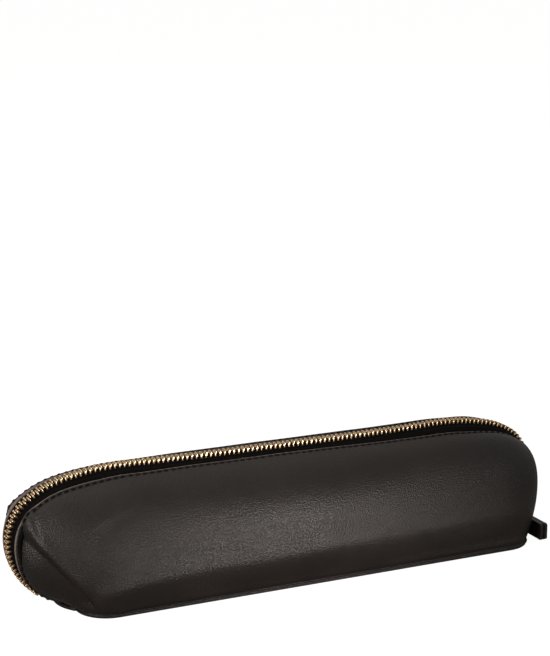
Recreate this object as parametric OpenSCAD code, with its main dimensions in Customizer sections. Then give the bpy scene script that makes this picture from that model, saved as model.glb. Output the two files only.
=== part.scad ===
// Zipped leather pen case: an arched two-sided pouch on a boxed base.
// Millimetres, +Z up, origin at the middle of the base's underside.
// X runs along the case, -Y is the front. The zip lies in the y = 0 plane, over the arch.

/* [Base] */
// Length of the base panel
base_l = 199; // [180:1:210]
// Width of the base panel
base_w = 49.6; // [45:0.2:55]
// Radius of the base panel's corners
base_corner_r = 13; // [10:0.5:16]
// Thickness of the base panel's leather
base_t = 1.3; // [1:0.1:1.8]
// How far the base panel stands out past the wall panels
base_lip = 0.5; // [0.3:0.1:1]
// Thickness of the stiffening board inside the base
board_t = 1; // [0.8:0.1:1.5]
// Distance from the wall panels' foot to the board's edge
board_inset = 4; // [3.5:0.5:8]
// Width of the seam allowance that lies past the base's nose end
nose_welt_w = 4.6; // [3:0.1:5]
// Width of the seam allowance at the tail end
tail_welt_w = 1.8; // [1.2:0.1:2.4]

/* [Arch] */
// How far the arch reaches past the base's end, where the zip starts
nose_overhang = 22.6; // [18:0.2:26]
// How far the arch reaches past the base's other end, where the zip closes
tail_overhang = 7.4; // [6:0.2:9]
// Height of the zip's centre line at its two crests
crest_h = 52.5; // [49:0.1:56]
// Turn of the shallow dip between the crests, at each side
dip_turn = 1.6; // [0.8:0.1:2]
// Radius of the arch just outside the crests
crown_r = 106; // [95:1:115]
// Turn of the arch at that radius
crown_turn = 14; // [12:0.5:15]
// Radius of the arch's shoulders
shoulder_r = 38; // [34:1:42]
// Turn of the shoulders
shoulder_turn = 20; // [17:1:23]
// Radius of the nose, at the end where the zip starts
nose_r = 20.9; // [19:0.1:22.5]
// Radius of the tail, above the slider's run
tail_r = 16; // [15:0.1:18]
// Turn of the slider's run above its outermost point
run_top_turn = 15; // [12:1:18]
// How far the nose tucks back in below its outermost point
nose_tuck = 16; // [14:0.5:18]
// How far the tail tucks back in below its outermost point
tail_tuck = 10; // [9:0.5:11]
// Height of the zip's centre line where both ends reach the base
zip_end_h = 3; // [2.8:0.1:3.4]

/* [Leather walls] */
// Thickness of the wall panels' leather
leather_t = 1; // [0.8:0.1:1.3]
// Distance from the zip's centre plane to the wall panels' upper edge
edge_y = 6.5; // [6:0.1:7.2]
// How far the upper edge lies inside the zip's centre line, at the two ends
edge_drop_end = 0.6; // [0.4:0.1:1]
// How far the upper edge lies inside the zip's centre line, over the middle
edge_drop_mid = 2.5; // [2:0.1:3]
// Length of zip beside the corner crease at the nose
nose_crease = 52; // [48:1:56]
// Length of zip beside the corner crease at the tail
tail_crease = 47; // [43:1:51]

/* [Lining] */
// Thickness of the lining cloth
lining_t = 0.4; // [0.3:0.1:0.6]
// Clearance between two layers of the case
layer_gap = 0.15; // [0.1:0.05:0.3]

/* [Stitching] */
// Diameter of the sewing thread
thread_d = 0.5; // [0.4:0.05:0.6]
// Distance from one edge stitch to the next
stitch_pitch = 2.95; // [2.6:0.05:3.4]
// Length of an edge stitch
stitch_l = 2.1; // [1.8:0.1:2.3]
// Distance from the panel's edge to the row of stitches
stitch_inset = 1.5; // [1.2:0.1:2]

/* [Zip] */
// Distance from one tooth to the next on the same side
tooth_pitch = 2; // [1.9:0.05:2.2]
// Clearance between meshed teeth, along the zip
tooth_gap = 0.1; // [0.08:0.01:0.14]
// Half of the chain's width
chain_half_w = 2.25; // [2.1:0.05:2.5]
// How far a tooth's head reaches past the middle of the chain
head_reach = 0.85; // [0.7:0.05:0.95]
// Height of the teeth
tooth_h = 2.2; // [2:0.1:2.4]
// Thickness of the zip tape
tape_t = 0.45; // [0.35:0.05:0.5]
// How far each tooth grips the tape's edge
tape_grip = 0.8; // [0.6:0.1:1]
// Flat strip of tape beside the teeth
tape_flat = 1.65; // [1.4:0.05:1.9]
// Distance from the zip's start to the bottom stop
bottom_stop_at = 6; // [5:0.5:8]
// Length of the bottom stop
bottom_stop_l = 2; // [1.6:0.1:2.6]
// Length of a top stop
top_stop_l = 1.6; // [1.4:0.1:2]
// Distance from the zip's far end to the top stops
top_stop_at = 2; // [1.8:0.1:2.4]

/* [Slider] */
// Length of the slider body
slider_l = 9; // [8.4:0.1:9.6]
// Width of the slider body at its wide end
slider_w = 7; // [6.8:0.1:7.4]
// Width of the slider body at its narrow end
slider_tail_w = 6; // [5.8:0.1:6.4]
// Thickness of the slider's plates
plate_t = 0.8; // [0.7:0.05:0.9]
// Clearance between the slider's plates and the teeth
slider_gap = 0.35; // [0.3:0.05:0.45]
// Distance from the zip's far end to the middle of the slider
slider_at = 8.5; // [8.3:0.1:9]
// Outer radius of the slider's bail
bail_r = 1.9; // [1.8:0.05:2.1]
// Width of the bail
bail_w = 1.6; // [1.4:0.1:1.8]
// Radius of the bail's eye
eye_r = 1; // [0.95:0.05:1.1]
// How far the bail's eye sinks below the slider's face
bail_sink = 0.15; // [0.1:0.05:0.25]

/* [Pull] */
// Radius of the pull ring, to the middle of its wire
ring_r = 3.4; // [3.3:0.05:3.6]
// Radius of the ring's wire
wire_r = 0.55; // [0.5:0.05:0.6]
// Inner radius of the strap's loop round the ring
loop_r = 0.95; // [0.9:0.05:1.05]
// Thickness of one layer of the strap
strap_t = 1.5; // [1.3:0.1:1.6]
// Width of the strap
strap_w = 7; // [6:0.5:9]
// Thickness of the strap's loop round the ring
neck_t = 0.9; // [0.8:0.05:1]
// Length of the neck past the loop
neck_reach = 1; // [0.8:0.1:1.4]
// Width of the strap's neck, where it passes the ring
neck_w = 2.4; // [2:0.1:2.6]
// Length of the strap from the ring's wire to its free end
strap_l = 17; // [14:0.5:19]
// How far the strap's middle hangs below its neck
strap_drop = 1.3; // [0:0.1:1.5]
// Length of a stitch on the strap
pull_stitch_l = 2; // [1.6:0.1:2.2]
// Distance from one of the strap's stitches to the next
pull_stitch_pitch = 2.8; // [2.6:0.1:3.2]
// Distance from the strap's edges to its stitches
pull_stitch_inset = 1.3; // [1.1:0.1:1.6]

/* [Hidden] */
$fn = 48;

// Along-the-case stations of the wall panels: 0 nose end, 1 nose crease, 2 middle, 3 tail crease, 4 tail end.
STATIONS = [0, 1, 2, 3, 4];
// At each station: the wall's angle above the base as it leaves its foot, the dip of its
// upper edge, and the reach of its upper and its lower curve as a share of the wall's height.
FOOT_RISE = [8, 37, 50, 56, 64];
EDGE_DIP = [0, 8, 0, -32, -14];
UPPER_REACH = [0.44, 0.28, 0.46, 0.36, 0.33];
LOWER_REACH = [0.30, 0.23, 0.32, 0.12, 0.16];
wall_foot_z = base_t + 0.1;
wall_rings = 72;
wall_rows = 13;
row_crowding = 1.45;    // rows stand closer together near the upper edge
lining_rings = 48;
lining_rows = 8;
lining_margin = 0.12;   // stations that the lining stops short of each end
fine = 0.02;            // step for the wall's tangents
thread_gap = 0.05;

// ---- the zip's line: arcs from the nose end, over the top, to the tail end ----
// What the arcs between a crest and the outermost point use up, outward and downward.
function outward(arcs, psi, i = 0) = i == len(arcs) ? [0, 0] :
    let (a = psi - arcs[i][1], r = arcs[i][0])
    [r * (cos(a) - cos(psi)), r * (sin(psi) - sin(a))] + outward(arcs, a, i + 1);
crown = [crown_r, crown_turn + dip_turn];
shoulder = [shoulder_r, shoulder_turn];
above_nose = 90 - crown_turn - shoulder_turn;
nose_part = outward([crown, shoulder, [nose_r, above_nose]], 90 + dip_turn);
// The slider's run is one arc: it starts above the tail's outermost point and ends tail_tuck inside it.
above_run = outward([crown, shoulder, [tail_r, above_nose - run_top_turn]], 90 + dip_turn);
run_drop = crest_h - above_run[1] - zip_end_h;
run_k = run_drop * sin(run_top_turn) + tail_tuck;
run_r = (run_k - sqrt(run_k * run_k - pow(sin(run_top_turn), 2) * (pow(tail_tuck, 2) + pow(run_drop, 2))))
    / pow(sin(run_top_turn), 2);
tail_part = above_run + outward([[run_r, run_top_turn]], run_top_turn);
nose_x = -base_l / 2 - nose_overhang;
tail_x = base_l / 2 + tail_overhang;
nose_h = crest_h - nose_part[1];
tail_h = crest_h - tail_part[1];
crest_span = tail_x - nose_x - nose_part[0] - tail_part[0];
tuck_rise = nose_h - zip_end_h;
tuck_r = (nose_tuck * nose_tuck + tuck_rise * tuck_rise) / (2 * nose_tuck);
tuck_turn = atan2(tuck_rise, tuck_r - nose_tuck);
run_low_turn = asin((tail_h - zip_end_h) / run_r);
ARCS = [
    [tuck_r, tuck_turn], [nose_r, above_nose], shoulder, crown,
    [-crest_span / (2 * sin(dip_turn)), -2 * dip_turn],
    crown, shoulder, [tail_r, above_nose - run_top_turn], [run_r, run_top_turn + run_low_turn]
];
function right_of(heading) = [sin(heading), -cos(heading)];
// Each joint of the line: its point, its heading and the length up to it.
function joints_from(p, heading, length, i = 0) = i == len(ARCS) ? [[p, heading, length]] :
    let (r = ARCS[i][0], next = heading - ARCS[i][1], middle = p + r * right_of(heading))
    concat([[p, heading, length]],
        joints_from(middle - r * right_of(next), next, length + r * ARCS[i][1] * PI / 180, i + 1));
LINE = joints_from([nose_x + nose_tuck, zip_end_h], 90 + tuck_turn, 0);
zip_l = LINE[len(ARCS)][2];
function arc_at(s, i = 0) = i == len(ARCS) - 1 || s <= LINE[i + 1][2] ? i : arc_at(s, i + 1);
// The line's x, z and heading at a length along it.
function zip_at(s) = let (i = arc_at(s), r = ARCS[i][0],
    heading = LINE[i][1] - (s - LINE[i][2]) / r * 180 / PI,
    p = LINE[i][0] + r * right_of(LINE[i][1]) - r * right_of(heading)) [p[0], p[1], heading];
// The centre of the slider's run, which the slider turns about.
run_centre = [tail_x - run_r, tail_h];

// ---- the walls' foot: half way round the base panel, from the nose's end to the tail's ----
foot_x = base_l / 2 - base_lip;
foot_y = base_w / 2 - base_lip;
foot_r = base_corner_r - base_lip;
end_run = foot_y - foot_r - edge_y;
corner_run = foot_r * PI / 2;
side_run = 2 * (foot_x - foot_r);
foot_run = 2 * end_run + 2 * corner_run + side_run;
// A point of the foot and the direction outward from it, on the nose's half.
function half_foot(d) =
    d < end_run ? [-foot_x, -edge_y - d, -1, 0] :
    d < end_run + corner_run ? let (a = (d - end_run) / foot_r * 180 / PI)
        [-foot_x + foot_r * (1 - cos(a)), -foot_y + foot_r * (1 - sin(a)), -cos(a), -sin(a)] :
    [-foot_x + foot_r + d - end_run - corner_run, -foot_y, 0, -1];
function foot_at(d) = d <= foot_run / 2 ? half_foot(d) :
    let (q = half_foot(foot_run - d)) [-q[0], q[1], -q[2], q[3]];

// ---- a wall panel's outer surface ----
function along(w, values) = lookup(w, [for (i = STATIONS) [i, values[i]]]);
function wall_s(w) = along(w, [0, nose_crease, zip_l / 2, zip_l - tail_crease, zip_l]);
// The station whose wall stands at a length along the zip.
function station_at(s) = lookup(s, [[0, 0], [nose_crease, 1], [zip_l / 2, 2],
    [zip_l - tail_crease, 3], [zip_l, 4]]);
function wall_d(w) = along(w, [0, end_run + corner_run / 2, foot_run / 2,
    foot_run - end_run - corner_run / 2, foot_run]);
// Between the two creases a wall changes smoothly; round each end it changes evenly.
function eased(w) = w < 1 || w > 3 ? w :
    let (i = floor(w), u = w - i) i + u * u * (3 - 2 * u);
// How far the upper edge lies inside the zip's centre line, by the length along the zip.
function edge_drop(s) = lookup(s, [[0, edge_drop_end], [0.75 * nose_crease, edge_drop_end],
    [1.5 * nose_crease, edge_drop_mid], [zip_l - tail_crease, edge_drop_mid],
    [zip_l, edge_drop_end]]);
// The four control points of the wall's curve at station w, from the zip to the base.
function wall_curve(w) = let (
    z = zip_at(wall_s(w)), inward = right_of(z[2]), drop = edge_drop(wall_s(w)), e = eased(w),
    edge = [z[0] + inward[0] * drop, -edge_y, z[1] + inward[1] * drop],
    f = foot_at(wall_d(w)), foot = [f[0], f[1], wall_foot_z],
    height = norm(foot - edge), dip = along(e, EDGE_DIP), rise = along(e, FOOT_RISE),
    off_edge = [inward[0] * sin(dip), -cos(dip), inward[1] * sin(dip)],
    off_foot = [f[2] * cos(rise), f[3] * cos(rise), sin(rise)])
    [edge, edge + off_edge * along(e, UPPER_REACH) * height,
        foot + off_foot * along(e, LOWER_REACH) * height, foot];
function on_curve(c, t) = pow(1 - t, 3) * c[0] + 3 * pow(1 - t, 2) * t * c[1]
    + 3 * (1 - t) * t * t * c[2] + pow(t, 3) * c[3];
function wall_point(w, t) = on_curve(wall_curve(w), t);
function wall_out(w, t) = let (
    a = min(w + fine, 4), b = max(w - fine, 0), u = min(t + fine, 1), v = max(t - fine, 0),
    c = wall_curve(w), n = cross(on_curve(c, u) - on_curve(c, v), wall_point(a, t) - wall_point(b, t)))
    n / norm(n);
function wall_offset(w, t, depth) = wall_point(w, t) - wall_out(w, t) * depth;

// A sheet between two grids of points, the outer and the inner.
module sheet(outer, inner) {
    m = len(outer);
    n = len(outer[0]);
    points = concat([for (row = outer) each row], [for (row = inner) each row]);
    function at(i, j, side) = side * m * n + i * n + j;
    function two(a, b, c, d) = [[a, b, c], [a, c, d]];
    polyhedron(points, concat(
        [for (i = [0:m - 2], j = [0:n - 2])
            each two(at(i, j, 0), at(i, j + 1, 0), at(i + 1, j + 1, 0), at(i + 1, j, 0))],
        [for (i = [0:m - 2], j = [0:n - 2])
            each two(at(i, j, 1), at(i + 1, j, 1), at(i + 1, j + 1, 1), at(i, j + 1, 1))],
        [for (i = [0:m - 2]) each two(at(i, 0, 0), at(i + 1, 0, 0), at(i + 1, 0, 1), at(i, 0, 1))],
        [for (i = [0:m - 2])
            each two(at(i, n - 1, 0), at(i, n - 1, 1), at(i + 1, n - 1, 1), at(i + 1, n - 1, 0))],
        [for (j = [0:n - 2]) each two(at(0, j, 0), at(0, j, 1), at(0, j + 1, 1), at(0, j + 1, 0))],
        [for (j = [0:n - 2])
            each two(at(m - 1, j, 0), at(m - 1, j + 1, 0), at(m - 1, j + 1, 1), at(m - 1, j, 1))]
    ), convexity = 8);
}

// Stations that stand evenly along the zip, stopping short of each end by the margin.
function even_stations(margin, rings) = let (a = wall_s(margin), b = wall_s(4 - margin))
    [for (i = [0:rings]) station_at(a + (b - a) * i / rings)];
function wall_grid(depth, margin, rings, rows) = [for (w = even_stations(margin, rings))
    [for (j = [0:rows]) wall_offset(w, pow(j / rows, row_crowding), depth)]];
module wall(depth, thickness, margin, rings, rows) {
    sheet(wall_grid(depth, margin, rings, rows), wall_grid(depth + thickness, margin, rings, rows));
}

// The same piece on the other side of the zip's plane.
module behind() { mirror([0, 1, 0]) children(); }

// ---- base ----
module rounded(l, w, r) {
    square([l - 2 * r, w], center = true);
    square([l, w - 2 * r], center = true);
    for (x = [-1, 1], y = [-1, 1])
        translate([x * (l / 2 - r), y * (w / 2 - r)]) circle(r);
}
module base_layer(inset, z, thickness) {
    translate([0, 0, z]) linear_extrude(thickness)
        rounded(base_l - 2 * inset, base_w - 2 * inset, base_corner_r - inset);
}
board_z = base_t + 0.05;
board_edge = base_lip + board_inset;
module base_panel() { color("#1d1a19") base_layer(0, 0, base_t); }
module base_board() { color("#8c7a60") base_layer(board_edge, board_z, board_t); }
module base_lining() {
    color("#2b2a2e") base_layer(board_edge, board_z + board_t + 0.05, lining_t);
}
// The seam allowance of an end seam: a crescent of leather that lies out past the base's end.
module end_welt(w) {
    l = base_w - 2 * base_corner_r;
    r = (l * l / 4 + w * w) / (2 * w);
    linear_extrude(base_t) intersection() {
        translate([base_l / 2 + w - r, 0]) circle(r, $fn = 180);
        translate([base_l / 2, -l / 2]) square([w, l]);
    }
}
module tail_welt() { color("#1d1a19") end_welt(tail_welt_w); }
module nose_welt() { color("#1d1a19") mirror([1, 0, 0]) end_welt(nose_welt_w); }

// ---- leather walls and lining ----
module front_panel() { color("#2a2523") wall(0, leather_t, 0, wall_rings, wall_rows); }
module back_panel() { color("#2a2523") behind() wall(0, leather_t, 0, wall_rings, wall_rows); }
lining_depth = leather_t + tape_t + 2 * layer_gap;
module lining_wall() {
    wall(lining_depth, lining_t, lining_margin, lining_rings, lining_rows);
}
module front_lining() { color("#2b2a2e") lining_wall(); }
module back_lining() { color("#2b2a2e") behind() lining_wall(); }

// ---- edge stitching ----
stitch_count = floor((zip_l - 2 * stitch_pitch) / stitch_pitch);
module edge_stitches() {
    for (k = [1:stitch_count]) {
        w = station_at(k * stitch_pitch);
        c = wall_curve(w);
        t = stitch_inset / (3 * norm(c[1] - c[0]));
        p = wall_point(w, t);
        d = wall_point(station_at((k + 0.1) * stitch_pitch), t) - p;
        out = wall_out(w, t);
        translate(p + out * (thread_d / 2 + thread_gap))
            multmatrix(turned_to(d / norm(d)))
                cylinder(d = thread_d, h = stitch_l, center = true, $fn = 16);
    }
}
// A turn that takes +Z to the direction d.
function turned_to(d) = let (
    a = abs(d[2]) < 0.9 ? [0, 0, 1] : [1, 0, 0], x = cross(a, d), u = x / norm(x), v = cross(d, u))
    [[u[0], v[0], d[0], 0], [u[1], v[1], d[1], 0], [u[2], v[2], d[2], 0], [0, 0, 0, 1]];
module front_edge_stitching() { color("#141210") edge_stitches(); }
module back_edge_stitching() { color("#141210") behind() edge_stitches(); }

// ---- zip tape: flat beside the teeth, then down under the leather's edge ----
tape_flat_y = chain_half_w + tape_flat;
tape_under = 1.2 * stitch_inset;
// At the zip's low ends the tape stops after this share of the wall's height.
tape_share = 0.15;
tape_depth = leather_t + layer_gap;
function tape_row(w, depth) = let (
    s = wall_s(w), z = zip_at(s), inward = right_of(z[2]), c = wall_curve(w),
    t = min(tape_under, tape_share * norm(c[3] - c[0])) / (3 * norm(c[1] - c[0])))
    [[z[0] + inward[0] * (depth - tape_t / 2), -(chain_half_w - tape_grip),
        z[1] + inward[1] * (depth - tape_t / 2)],
     [z[0] + inward[0] * (depth - tape_t / 2), -tape_flat_y, z[1] + inward[1] * (depth - tape_t / 2)],
     wall_offset(w, 0, tape_depth + depth), wall_offset(w, t, tape_depth + depth)];
tape_margin = 0.02;
module half_tape() {
    stations = even_stations(tape_margin, wall_rings);
    sheet([for (w = stations) tape_row(w, 0)], [for (w = stations) tape_row(w, tape_t)]);
}
module front_tape() { color("#121113") half_tape(); }
module back_tape() { color("#121113") behind() half_tape(); }

// ---- zip teeth ----
// Places a piece on the zip's line: its +X along the zip, +Y across, +Z out of the case.
module on_zip(s) {
    z = zip_at(s);
    translate([z[0], 0, z[1]]) rotate([0, -z[2], 0]) children();
}
slider_s = zip_l - slider_at;
chain_start = bottom_stop_at + bottom_stop_l / 2 + tooth_pitch / 2;
tooth_count = floor((slider_s - chain_start) / tooth_pitch);
head_half = tooth_pitch / 4 - tooth_gap / 2;
leg_half = tooth_pitch * 0.31;
leg_y = head_reach + tooth_gap;
module tooth() {
    translate([0, 0, -tooth_h / 2]) linear_extrude(tooth_h) polygon([
        [-leg_half, -chain_half_w], [leg_half, -chain_half_w], [leg_half, -leg_y],
        [head_half, -leg_y], [head_half, head_reach], [-head_half, head_reach],
        [-head_half, -leg_y], [-leg_half, -leg_y]]);
}
module teeth(shift) {
    for (k = [0:tooth_count - 1]) on_zip(chain_start + (k + shift) * tooth_pitch) tooth();
}
module front_teeth() { color("#c9a36b") teeth(0); }
module back_teeth() { color("#c9a36b") behind() teeth(0.5); }

// ---- stops ----
module stop_block(l, y0, y1) {
    translate([-l / 2, y0, -tooth_h / 2]) cube([l, y1 - y0, tooth_h]);
}
stop_edge = chain_half_w - tape_grip - 0.05;
module bottom_stop() {
    color("#c9a36b") on_zip(bottom_stop_at)
        stop_block(bottom_stop_l, -stop_edge, stop_edge);
}
module top_stop() {
    on_zip(zip_l - top_stop_at)
        stop_block(top_stop_l, -stop_edge, -stop_edge + 1);
}
module front_top_stop() { color("#c9a36b") top_stop(); }
module back_top_stop() { color("#c9a36b") behind() top_stop(); }

// ---- slider: two plates joined by a divider at the wide end ----
plate_z = tooth_h / 2 + slider_gap;
flange_t = 0.6;
tape_slot = tape_t / 2 + slider_gap;
slider_sink = 0.17;   // the run curves away under the slider's ends
divider_l = 3;
divider_w = 1.6;
eye_z = plate_z + plate_t + eye_r - bail_sink;
eye_x = -slider_l / 15;
module on_slider() { on_zip(slider_s) translate([0, 0, -slider_sink]) children(); }
module slider_outline() {
    polygon([[-slider_l / 2, -slider_tail_w / 2], [0, -slider_tail_w / 2],
        [slider_l * 0.2, -slider_w / 2], [slider_l * 0.4, -slider_w / 2],
        [slider_l / 2, -slider_w * 0.36], [slider_l / 2, slider_w * 0.36],
        [slider_l * 0.4, slider_w / 2], [slider_l * 0.2, slider_w / 2],
        [0, slider_tail_w / 2], [-slider_l / 2, slider_tail_w / 2]]);
}
// The flanges down each side of a plate, as far as the slot for the tape.
module flange() {
    difference() {
        linear_extrude(plate_z - tape_slot) slider_outline();
        translate([0, 0, -1]) linear_extrude(plate_z + 2) intersection() {
            translate([-slider_l, -slider_tail_w / 2 + flange_t])
                square([2 * slider_l, slider_tail_w - 2 * flange_t]);
            square([2 * slider_l, slider_w], center = true);
        }
    }
}
module slider_half() {
    translate([0, 0, plate_z]) linear_extrude(plate_t) slider_outline();
    translate([0, 0, tape_slot]) flange();
}
module slider_body() {
    color("#c9a36b") on_slider() {
        slider_half();
        mirror([0, 0, 1]) slider_half();
        translate([slider_l / 2 - divider_l, -divider_w / 2, -plate_z - 0.1])
            cube([divider_l - 0.3, divider_w, 2 * plate_z + 0.2]);
    }
}
module slider_bail() {
    color("#c9a36b") on_slider() difference() {
        translate([eye_x, 0, eye_z]) rotate([90, 0, 0])
            difference() {
                cylinder(r = bail_r, h = bail_w, center = true);
                cylinder(r = eye_r, h = 2 * bail_w, center = true);
            }
        translate([eye_x - slider_l / 2, -slider_w / 2, -plate_z])
            cube([slider_l, slider_w, 2 * plate_z + plate_t]);
    }
}

// ---- pull: a ring through the bail, and a folded strap on the ring's front side ----
slider_place = zip_at(slider_s);
slider_out = -right_of(slider_place[2]);
slider_on = [cos(slider_place[2]), sin(slider_place[2])];
eye_rise = eye_z - slider_sink;
eye = [slider_place[0] + slider_on[0] * eye_x + slider_out[0] * eye_rise, 0,
    slider_place[1] + slider_on[1] * eye_x + slider_out[1] * eye_rise];
ring_centre = eye - [0, 0, ring_r];
loop_axis = ring_centre - [0, ring_r, 0];
module pull_ring() {
    color("#c9a36b") translate(ring_centre) rotate([0, 90, 0])
        rotate_extrude() translate([ring_r, 0]) circle(wire_r, $fn = 24);
}
loop_outer = loop_r + neck_t;
neck_l = loop_outer + neck_reach;
module pull_strap() {
    color("#1f1c1b") translate(loop_axis) {
        linear_extrude(neck_w, center = true) difference() {
            union() {
                circle(loop_outer);
                translate([-loop_outer, -neck_l]) square([2 * loop_outer, neck_l]);
            }
            circle(loop_r);
        }
        translate([-strap_t, -strap_l, -strap_w / 2 - strap_drop])
            cube([2 * strap_t, strap_l - neck_l, strap_w]);
    }
}
pull_stitches = floor((strap_l - neck_l - 2 * pull_stitch_inset - pull_stitch_l) / pull_stitch_pitch) + 1;
module pull_stitching() {
    color("#141210") translate(loop_axis)
        for (face = [-1, 1], edge = [-1, 1], k = [0:pull_stitches - 1])
            translate([face * (strap_t + thread_d / 2 + thread_gap),
                -strap_l + pull_stitch_inset + k * pull_stitch_pitch,
                edge * (strap_w / 2 - pull_stitch_inset) - strap_drop])
                rotate([-90, 0, 0]) cylinder(d = thread_d, h = pull_stitch_l, $fn = 16);
}

base_panel();
base_board();
base_lining();
nose_welt();
tail_welt();
front_panel();
back_panel();
front_lining();
back_lining();
front_edge_stitching();
back_edge_stitching();
front_tape();
back_tape();
front_teeth();
back_teeth();
bottom_stop();
front_top_stop();
back_top_stop();
slider_body();
slider_bail();
pull_ring();
pull_strap();
pull_stitching();
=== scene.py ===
# Arched leather pen case with a metal zip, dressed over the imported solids.
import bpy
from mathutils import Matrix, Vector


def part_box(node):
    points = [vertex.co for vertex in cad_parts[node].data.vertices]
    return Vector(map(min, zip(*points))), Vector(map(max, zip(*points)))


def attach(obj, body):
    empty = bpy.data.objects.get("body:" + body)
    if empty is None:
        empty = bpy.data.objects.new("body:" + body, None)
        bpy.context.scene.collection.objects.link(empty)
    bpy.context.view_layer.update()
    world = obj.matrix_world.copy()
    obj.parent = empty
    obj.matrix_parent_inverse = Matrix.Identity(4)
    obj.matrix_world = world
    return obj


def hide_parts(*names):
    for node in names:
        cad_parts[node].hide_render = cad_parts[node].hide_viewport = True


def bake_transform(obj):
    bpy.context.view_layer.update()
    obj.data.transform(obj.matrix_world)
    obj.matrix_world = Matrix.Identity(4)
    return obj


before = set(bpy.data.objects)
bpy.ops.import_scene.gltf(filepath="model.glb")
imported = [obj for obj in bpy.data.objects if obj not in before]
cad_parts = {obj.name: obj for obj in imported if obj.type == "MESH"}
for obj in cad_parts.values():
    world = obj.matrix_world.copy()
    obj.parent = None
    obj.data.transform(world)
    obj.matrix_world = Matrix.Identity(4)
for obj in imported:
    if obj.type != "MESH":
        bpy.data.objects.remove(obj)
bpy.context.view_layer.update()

from math import asin, atan2, cos, degrees, pi, radians, sin, sqrt

import bpy
import numpy as np
from mathutils import Matrix, Vector, noise

# ---------------------------------------------------------------------------
# Leather walls. Each side of the case is one panel of black calf leather about
# a millimetre thick. Its upper edge is turned under and sewn down on the zip
# tape, its foot is sewn to the base, and the two corners are boxed.
# ---------------------------------------------------------------------------
MM = 0.001   # lengths are in millimetres until they reach a mesh
FRONT = -1   # the side of the zip's plane that each pair of pieces lies on
BACK = 1
SIDE_NAMES = {FRONT: "front", BACK: "back"}
BASE_L, BASE_W, BASE_R, BASE_T = 199.0, 49.6, 13.0, 1.3
BASE_LIP = 0.5   # how far the base shows past the walls' foot
# The zip's line: how far it reaches past each end of the base, and how high it starts and rises.
NOSE_OVERHANG, TAIL_OVERHANG = 22.6, 7.4
CREST_H, ZIP_END_H = 52.5, 3.0
# Its arcs, each a radius with the degrees that it turns, and how far each end tucks in under.
DIP_TURN, CROWN_R, CROWN_TURN = 1.6, 106.0, 14.0
SHOULDER_R, SHOULDER_TURN, NOSE_R, TAIL_R = 38.0, 20.0, 20.9, 16.0
RUN_TOP_TURN, NOSE_TUCK, TAIL_TUCK = 15.0, 16.0, 10.0
EDGE_Y = 6.5   # how far the turned edge stays from the zip's plane
EDGE_DROP_END = 0.6   # how far it lies below the zip's line at either end
NOSE_CREASE, TAIL_CREASE = 52.0, 47.0   # where the corners' creases meet the zip, from its ends


def outward(arcs, psi):
    """What arcs use up, outward and downward, from a heading psi degrees off straight down."""
    x = z = 0.0
    for r, turn in arcs:
        a = psi - turn
        x += r * (cos(radians(a)) - cos(radians(psi)))
        z += r * (sin(radians(psi)) - sin(radians(a)))
        psi = a
    return x, z


def right_of(heading):
    """The way to the right of a heading in the zip's plane, which is into the case."""
    return np.array([sin(radians(heading)), -cos(radians(heading))])


# The zip's line is a chain of arcs: up the tucked nose, over the crown, which dips a little in
# the middle, and down the tail. The crest's height and the overhangs fix the arcs left open.
above_nose = 90 - CROWN_TURN - SHOULDER_TURN
crown = (CROWN_R, CROWN_TURN + DIP_TURN)
shoulder = (SHOULDER_R, SHOULDER_TURN)
nose_part = outward([crown, shoulder, (NOSE_R, above_nose)], 90 + DIP_TURN)
above_run = outward([crown, shoulder, (TAIL_R, above_nose - RUN_TOP_TURN)], 90 + DIP_TURN)
# The tail's long run is the one arc that drops this far while it tucks in by TAIL_TUCK.
run_drop = CREST_H - above_run[1] - ZIP_END_H
run_s = sin(radians(RUN_TOP_TURN))
run_k = run_drop * run_s + TAIL_TUCK
run_r = (run_k - sqrt(run_k ** 2 - run_s ** 2 * (TAIL_TUCK ** 2 + run_drop ** 2))) / run_s ** 2
run_part = outward([(run_r, RUN_TOP_TURN)], RUN_TOP_TURN)
tail_part = (above_run[0] + run_part[0], above_run[1] + run_part[1])
nose_x, tail_x = -BASE_L / 2 - NOSE_OVERHANG, BASE_L / 2 + TAIL_OVERHANG
nose_h, tail_h = CREST_H - nose_part[1], CREST_H - tail_part[1]
crest_span = tail_x - nose_x - nose_part[0] - tail_part[0]
tuck_rise = nose_h - ZIP_END_H
tuck_r = (NOSE_TUCK ** 2 + tuck_rise ** 2) / (2 * NOSE_TUCK)
tuck_turn = degrees(atan2(tuck_rise, tuck_r - NOSE_TUCK))
ARCS = [
    (tuck_r, tuck_turn), (NOSE_R, above_nose), shoulder, crown,
    (-crest_span / (2 * sin(radians(DIP_TURN))), -2 * DIP_TURN), crown, shoulder,
    (TAIL_R, above_nose - RUN_TOP_TURN),
    (run_r, RUN_TOP_TURN + degrees(asin((tail_h - ZIP_END_H) / run_r)))]
LINE = []
point, heading, length = np.array([nose_x + NOSE_TUCK, ZIP_END_H]), 90 + tuck_turn, 0.0
for r, turn in ARCS:
    LINE.append((point, heading, length, r))
    middle = point + r * right_of(heading)
    heading -= turn
    point = middle - r * right_of(heading)
    length += r * radians(turn)
zip_l = length


def zip_at(s):
    """The zip's x, z and heading at a length s along it."""
    start, first, at, r = [part for part in LINE if part[2] <= max(s, 0)][-1]
    turned = first - degrees((s - at) / r)
    x, z = start + r * right_of(first) - r * right_of(turned)
    return x, z, turned


foot_x, foot_y, foot_r = BASE_L / 2 - BASE_LIP, BASE_W / 2 - BASE_LIP, BASE_R - BASE_LIP
end_run = foot_y - foot_r - EDGE_Y
corner_run = foot_r * pi / 2
foot_run = 2 * end_run + 2 * corner_run + 2 * (foot_x - foot_r)


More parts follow.
